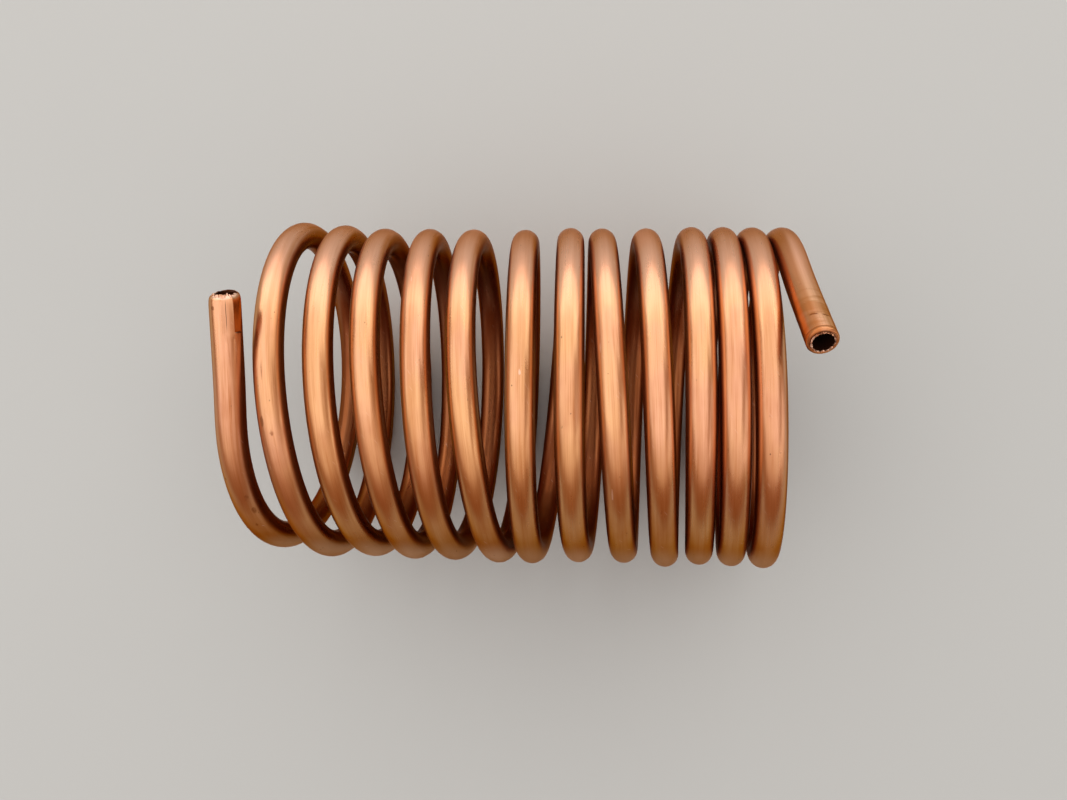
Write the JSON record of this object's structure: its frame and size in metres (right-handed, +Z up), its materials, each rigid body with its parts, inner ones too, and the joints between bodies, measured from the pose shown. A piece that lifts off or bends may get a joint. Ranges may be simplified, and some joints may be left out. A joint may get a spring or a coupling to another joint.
{
  "type": "copper tube coil",
  "caption": "Soft copper tube wound into a loose, uneven coil that lies on its turns, with both ends straight and open.",
  "frame": {"origin": "on the floor under the middle of the bounding box, with the coil lying on its turns", "axes": "+X along the coil from its squeezed end to its cut end, +Z up, +Y square to both"},
  "size_m": [0.1208, 0.0784, 0.082],
  "materials": {
    "copper": "satin drawn copper, lightly handled"
  },
  "bodies": {
    "root": {"copper_tube": "copper"}
  },
  "joints": []
}
